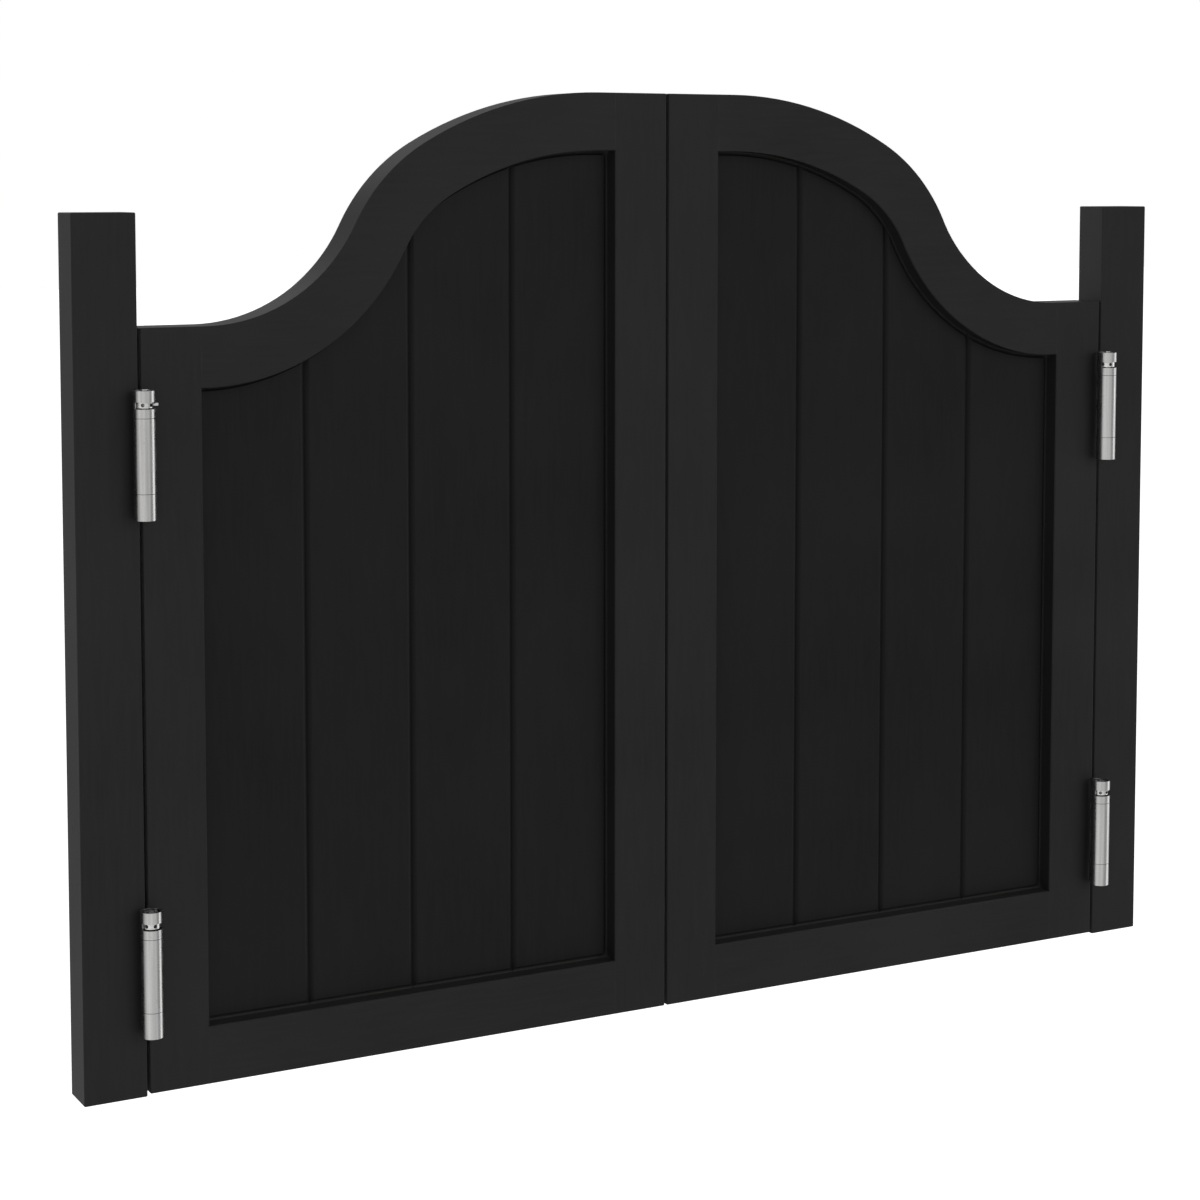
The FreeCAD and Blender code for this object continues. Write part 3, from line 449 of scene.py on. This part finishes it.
def cross(shape, scale, height):
    """The outline of a cross recess."""
    points = []
    for arm in range(4):
        turn = Matrix.Rotation(TURN * arm / 4, 3, "Z")
        for x, y in ((RECESS_REACH, -RECESS_WIDTH), (RECESS_REACH, RECESS_WIDTH),
                     (RECESS_WIDTH, RECESS_WIDTH)):
            points.append(shape.verts.new(turn @ Vector((x * scale, y * scale, height))))
    return points


def loop_edges(shape, points):
    """The edges of a closed outline, new ones where there are none."""
    return [shape.edges.get((points[i - 1], points[i])) or
            shape.edges.new((points[i - 1], points[i])) for i in range(len(points))]


def screw(head_radius, length):
    """A countersunk wood screw with a cross recess, its head at the origin, pointing up."""
    shape = bmesh.new()
    thread_start = SCREW_SINK + PLAIN_SHARE * length
    profile = [(head_radius, 0), (SHANK_RADIUS, SCREW_SINK), (SHANK_RADIUS, thread_start),
               (CORE_RADIUS, thread_start + THREAD_FOOT), (CORE_RADIUS, length - SCREW_TIP)]
    rings = [ring(shape, radius, height) for radius, height in profile]
    for first, second in zip(rings, rings[1:]):
        bridge(shape, first, second)
    tip = shape.verts.new((0, 0, length))
    for i in range(SCREW_STEPS):
        shape.faces.new((rings[-1][i - 1], rings[-1][i], tip))

    rim = cross(shape, 1.0, 0)
    foot = cross(shape, RECESS_FOOT, RECESS_DEPTH)
    face = loop_edges(shape, rings[0]) + loop_edges(shape, rim)
    bmesh.ops.triangle_fill(shape, edges=face, use_beauty=True)
    bridge(shape, rim, foot)
    bmesh.ops.triangle_fill(shape, edges=loop_edges(shape, foot), use_beauty=True)

    run = length - thread_start - THREAD_FOOT - SCREW_TIP / 2
    steps = int(run / THREAD_PITCH * SCREW_STEPS)
    ridges = []
    for step in range(steps + 1):
        angle = TURN * step / SCREW_STEPS
        height = thread_start + THREAD_FOOT + run * step / steps
        core = CORE_RADIUS * min(1, (length - height) / SCREW_TIP)
        root, crest = THREAD_ROOT * core, core + (SHANK_RADIUS - CORE_RADIUS)
        section = ((root, -THREAD_FOOT), (crest, 0), (root, THREAD_FOOT))
        ridges.append([shape.verts.new((radius * math.cos(angle), radius * math.sin(angle),
                                        height + rise)) for radius, rise in section])
    for first, second in zip(ridges, ridges[1:]):
        bridge(shape, first, second)
    shape.faces.new(ridges[0])
    shape.faces.new(ridges[-1][::-1])
    bmesh.ops.recalc_face_normals(shape, faces=shape.faces)
    return shape


def solids(name):
    """The points of each separate solid in a CAD node."""
    shape = bmesh.new()
    shape.from_mesh(nodes[name].data)
    bmesh.ops.remove_doubles(shape, verts=shape.verts, dist=WELD)
    waiting = set(shape.verts)
    groups = []
    for start in shape.verts:
        if start not in waiting:
            continue
        waiting.remove(start)
        reached = [start]
        for point in reached:
            for edge in point.link_edges:
                other = edge.other_vert(point)
                if other in waiting:
                    waiting.remove(other)
                    reached.append(other)
        groups.append([point.co.copy() for point in reached])
    shape.free()
    return groups


def centre(points):
    """The middle of the points' box, to the millimetre, as a key to sort by."""
    return [round((min(p[i] for p in points) + max(p[i] for p in points)) / 2, 3)
            for i in range(3)]


def screws(name):
    """Screws in the places of the plain ones of a CAD node, all of which lie along X."""
    together = bmesh.new()
    for index, points in enumerate(sorted(solids(name), key=centre)):
        low, high = (pick(p.x for p in points) for pick in (min, max))
        y, z = ((min(p[i] for p in points) + max(p[i] for p in points)) / 2 for i in (1, 2))

        def reach(x):
            return max(math.hypot(p.y - y, p.z - z) for p in points if abs(p.x - x) < NEAR)

        head_at_low = reach(low) > reach(high)
        head, toward = (low, 1) if head_at_low else (high, -1)
        one = screw(max(reach(low), reach(high)), high - low)
        laid = Matrix.Rotation(toward * TURN / 4, 4, "Y")
        rolled = Matrix.Rotation(index * SCREW_ROLL, 4, "Z")
        one.transform(Matrix.Translation((head, y, z)) @ laid @ rolled)
        piece = bpy.data.meshes.new("one_screw")
        one.to_mesh(piece)
        one.free()
        together.from_mesh(piece)
        bpy.data.meshes.remove(piece)
    return together


def fixing_hole_fill(mount):
    """Painted filler, flush in the outer ends of a post's fixing holes."""
    outward = Vector(mount["axis"])
    middle = Vector(mount["pos_m"])
    radius = mount["dims"]["hole_r_mm"] / 1000
    spacing = mount["dims"]["spacing_y_mm"] / 1000
    profile = ((FILL_FACE * radius, 0), (radius, FILL_BEVEL), (radius, FILL_DEPTH))
    around = [Vector((0, math.cos(TURN * i / SCREW_STEPS), math.sin(TURN * i / SCREW_STEPS)))
              for i in range(SCREW_STEPS)]
    shape = bmesh.new()
    for height in (-spacing / 2, spacing / 2):
        face = middle + Vector((0, 0, height)) - outward * FILL_SINK
        rings = [[shape.verts.new(face - outward * depth + direction * size)
                  for direction in around] for size, depth in profile]
        shape.faces.new(rings[0])
        bridge(shape, rings[0], rings[1])
        bridge(shape, rings[1], rings[2])
        shape.faces.new(rings[2][::-1])
    bmesh.ops.recalc_face_normals(shape, faces=shape.faces)
    return shape


for name in nodes:
    if name.endswith("_spring"):
        coiled = add_piece(name + "_coil", coil(name), wire, name)
        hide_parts(name)
    elif name.endswith("_hinge_screws"):
        threaded = add_piece(name + "_threaded", screws(name), screw_steel, name)
        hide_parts(name)
for mount in frame["record"]["mounts"]:
    if mount["kind"] == "bolt_pattern":
        post = mount["name"].replace("_fixing_holes", "_post")
        add_piece(post + "_hole_fill", fixing_hole_fill(mount), frame_upright, post)


# ---------------------------------------------------------------------------
# Camera, light and floor
# ---------------------------------------------------------------------------

LENS, SENSOR, SHIFT = 78.0, 36.0, -0.18
CAMERA_PLACE = (-0.9668, -1.7069, 0.6316)
LOOK_DOWN, LOOK_RIGHT = math.radians(4.482), math.radians(28.26)

camera_data = bpy.data.cameras.new("camera")
camera_data.lens = LENS
camera_data.sensor_width = SENSOR
camera_data.shift_y = SHIFT
camera = bpy.data.objects.new("camera", camera_data)
camera.location = CAMERA_PLACE
camera.rotation_euler = (TURN / 4 - LOOK_DOWN, 0, -LOOK_RIGHT)
scene.collection.objects.link(camera)
scene.camera = camera


SUN_DISTANCE = 3.0


def sun(name, toward, strength, softness):
    """A distant soft light; toward points from the object to it, softness is in degrees.

    It doesn't show in mirrors, which see the brightness in MIRRORED instead.
    """
    data = bpy.data.lights.new(name, "SUN")
    data.energy = strength
    data.angle = math.radians(softness)
    light = bpy.data.objects.new(name, data)
    light.rotation_euler = Vector(toward).to_track_quat("Z", "Y").to_euler()
    light.location = Vector(toward) * SUN_DISTANCE
    light.visible_glossy = False
    scene.collection.objects.link(light)


sun("key", toward=(0.40, -0.90, 0.12), strength=1.60, softness=60.0)
sun("side", toward=(-0.92, 0.36, 0.12), strength=3.00, softness=30.0)

# The brightness that mirrors see, by degrees around the object: 0 in front, 90 to its right.
MIRRORED = (
    (-180, 0.75), (-168, 0.20), (-152, 0.20), (-142, 1.30), (-128, 1.30), (-112, 0.40),
    (-98, 0.70), (-84, 1.20), (-56, 1.35), (-20, 1.15), (22, 1.05), (42, 0.52), (56, 0.60),
    (70, 2.30), (80, 2.30), (94, 1.00), (112, 0.50), (162, 0.40), (174, 0.75),
)
AMBIENT = 0.50
WHITE = (1, 1, 1, 1)
FLOOR_LEVEL, FLOOR_HALF = -0.72, 30.0
FLOOR_COLOUR = (0.85, 0.85, 0.85, 1)
FLOOR_LIFT = 0.6                  # light that the camera sees on the floor besides the lamps'


class Surroundings:
    """The node tree of the world or the floor; inputs are given in the order of sockets."""

    def __init__(self, owner, coordinates):
        owner.use_nodes = True
        self.tree = owner.node_tree
        self.tree.nodes.clear()
        self.path = self.node("ShaderNodeLightPath").outputs
        self.place = self.node("ShaderNodeTexCoord").outputs[coordinates]

    def node(self, kind, *inputs):
        made = self.tree.nodes.new(kind)
        for socket, value in zip(made.inputs, inputs):
            if isinstance(value, bpy.types.NodeSocket):
                self.tree.links.new(value, socket)
            else:
                socket.default_value = value
        return made

    def math(self, operation, *inputs):
        made = self.node("ShaderNodeMath", *inputs)
        made.operation = operation
        return made.outputs[0]

    def mirrored(self):
        """The brightness that mirrors see in the direction of a place."""
        parts = self.node("ShaderNodeSeparateXYZ", self.place).outputs
        around = self.math("ARCTAN2", parts["X"], self.math("MULTIPLY", parts["Y"], -1.0))
        level = MIRRORED[0][1]
        for (start, before), (end, after) in zip(MIRRORED, MIRRORED[1:]):
            step = self.node("ShaderNodeMapRange", around, math.radians(start),
                             math.radians(end), 0.0, after - before)
            step.interpolation_type = "SMOOTHSTEP"
            level = self.math("ADD", step.outputs["Result"], level)
        return level


world = bpy.data.worlds.new("studio")
scene.world = world
studio = Surroundings(world, "Generated")
seen = studio.math("MAXIMUM", studio.path["Is Camera Ray"], studio.path["Is Transmission Ray"])
glossy = studio.math("MULTIPLY", studio.path["Is Glossy Ray"], studio.mirrored())
ambient = studio.math("MULTIPLY", studio.path["Is Diffuse Ray"], AMBIENT)
level = studio.math("ADD", studio.math("ADD", seen, glossy), ambient)
background = studio.node("ShaderNodeBackground", WHITE, level)
studio.node("ShaderNodeOutputWorld", background.outputs[0])

# Mirrors see the same brightness on the floor as in the world; other rays see plain white.
floor_mesh = bpy.data.meshes.new("floor")
corners = [(x * FLOOR_HALF, y * FLOOR_HALF, FLOOR_LEVEL)
           for x, y in ((-1, -1), (1, -1), (1, 1), (-1, 1))]
floor_mesh.from_pydata(corners, [], [(0, 1, 2, 3)])
floor = bpy.data.objects.new("floor", floor_mesh)
scene.collection.objects.link(floor)
pale = bpy.data.materials.new("floor_white")
floor_mesh.materials.append(pale)
under = Surroundings(pale, "Object")
diffuse = under.node("ShaderNodeBsdfDiffuse", FLOOR_COLOUR)
lift = under.math("MULTIPLY", under.path["Is Camera Ray"], FLOOR_LIFT)
glow = under.node("ShaderNodeEmission", WHITE, lift)
plain = under.node("ShaderNodeAddShader", diffuse.outputs[0], glow.outputs[0])
panels = under.node("ShaderNodeEmission", WHITE, under.mirrored())
choice = under.node("ShaderNodeMixShader", under.path["Is Glossy Ray"], plain.outputs[0],
                    panels.outputs[0])
under.node("ShaderNodeOutputMaterial", choice.outputs[0])

scene.view_settings.view_transform = "Standard"

bpy.context.view_layer.update()
